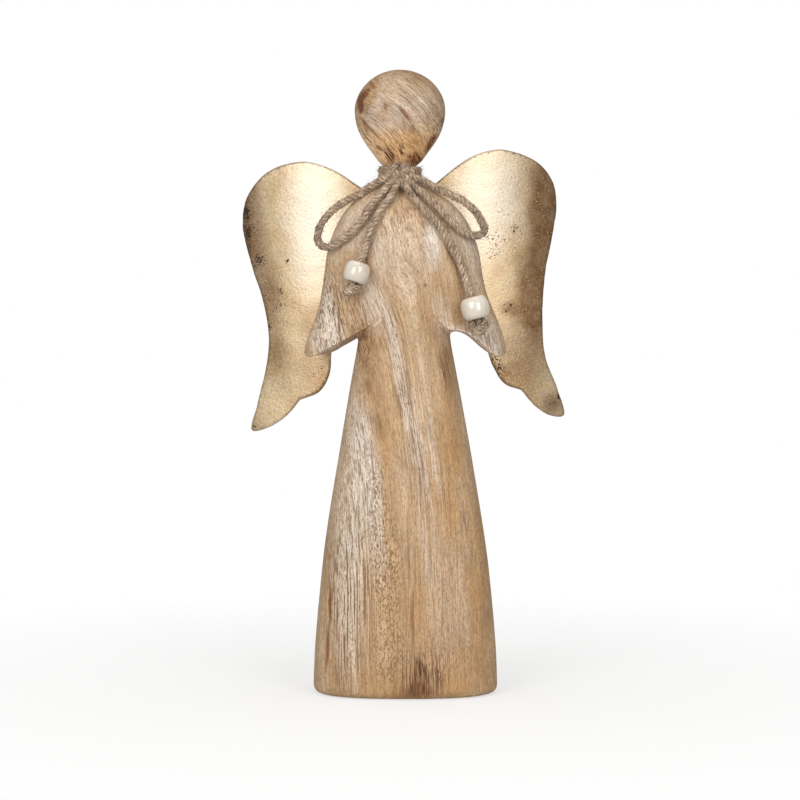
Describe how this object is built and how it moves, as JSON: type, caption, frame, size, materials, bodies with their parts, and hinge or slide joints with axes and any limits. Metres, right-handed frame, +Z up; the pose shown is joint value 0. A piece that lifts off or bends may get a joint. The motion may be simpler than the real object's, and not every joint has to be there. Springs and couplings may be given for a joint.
{
  "type": "wooden angel statue",
  "caption": "Carved wooden angel with a round head, sleeves and a plain skirt, gilded sheet-metal wings on its flat back, and a twine bow with beads at the neck.",
  "frame": {"origin": "centre of the flat underside, on the surface that the figure stands on", "axes": "+Z up the figure, -Y out of its front, +X to the right of someone who faces it"},
  "size_m": [0.1125, 0.0481, 0.21],
  "materials": {
    "wood": "sanded, lightly waxed mango wood",
    "gilt_metal": "satin gold leaf with dark specks",
    "screw_steel": "dull plated",
    "twine": "hairy three-ply jute",
    "bead_glaze": "glossy cream"
  },
  "bodies": {
    "root": {"carved_figure": "wood", "wings": "gilt_metal", "wing_screw_upper": "screw_steel", "wing_screw_lower": "screw_steel", "neck_twine": "twine", "bow_loop_left": "twine", "bow_loop_right": "twine", "bow_tail_left": "twine", "bow_tail_right": "twine", "bead_left": "bead_glaze", "bead_right": "bead_glaze", "end_knot_left": "twine", "end_knot_right": "twine"}
  },
  "joints": []
}
